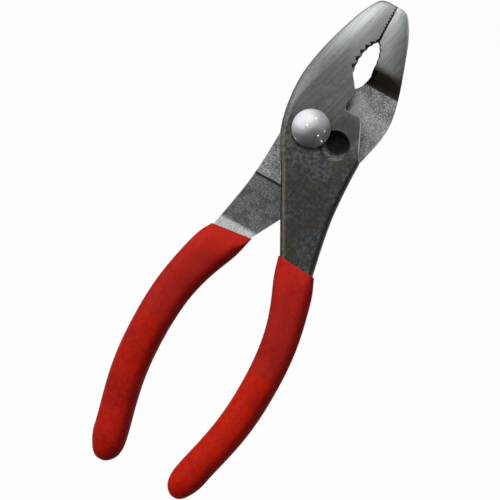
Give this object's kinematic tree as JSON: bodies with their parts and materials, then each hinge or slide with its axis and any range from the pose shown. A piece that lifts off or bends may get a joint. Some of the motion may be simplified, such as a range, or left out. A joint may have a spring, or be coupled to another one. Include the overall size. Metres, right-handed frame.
{
  "type": "slip joint pliers",
  "caption": "Slip joint pliers with toothed pipe throat, wire cutter, domed pivot bolt in a slotted joint and dipped grips on bowed handles.",
  "frame": {"origin": "pivot axis in the narrow setting, on the flat back of the bolt's end and nut", "axes": "+Y along the tool to the jaws' nose, +Z along the pivot axis through the domed head"},
  "size_m": [0.0474, 0.158, 0.0163],
  "materials": {
    "ground_steel": "ground, satin",
    "blasted_steel": "shot-blasted, rough",
    "red_vinyl": "dipped vinyl, matte",
    "polished_steel": "polished",
    "dark_steel": "satin"
  },
  "bodies": {
    "slotted_half": {"front_half": "ground_steel", "front_grip": "red_vinyl"},
    "pivot": {"pivot_bolt": "polished_steel", "pivot_nut": "dark_steel"},
    "plain_half": {"back_half": "blasted_steel", "back_grip": "red_vinyl"}
  },
  "joints": [
    {"name": "slip", "type": "slide", "parent": "slotted_half", "child": "pivot", "axis": [0.9903, -0.1392, 0], "range_m": [0, 0.0086]},
    {"name": "open", "type": "hinge", "parent": "pivot", "child": "plain_half", "pos_m": [0, 0, 0], "axis": [0, 0, -1], "range_deg": [0, 70]}
  ]
}
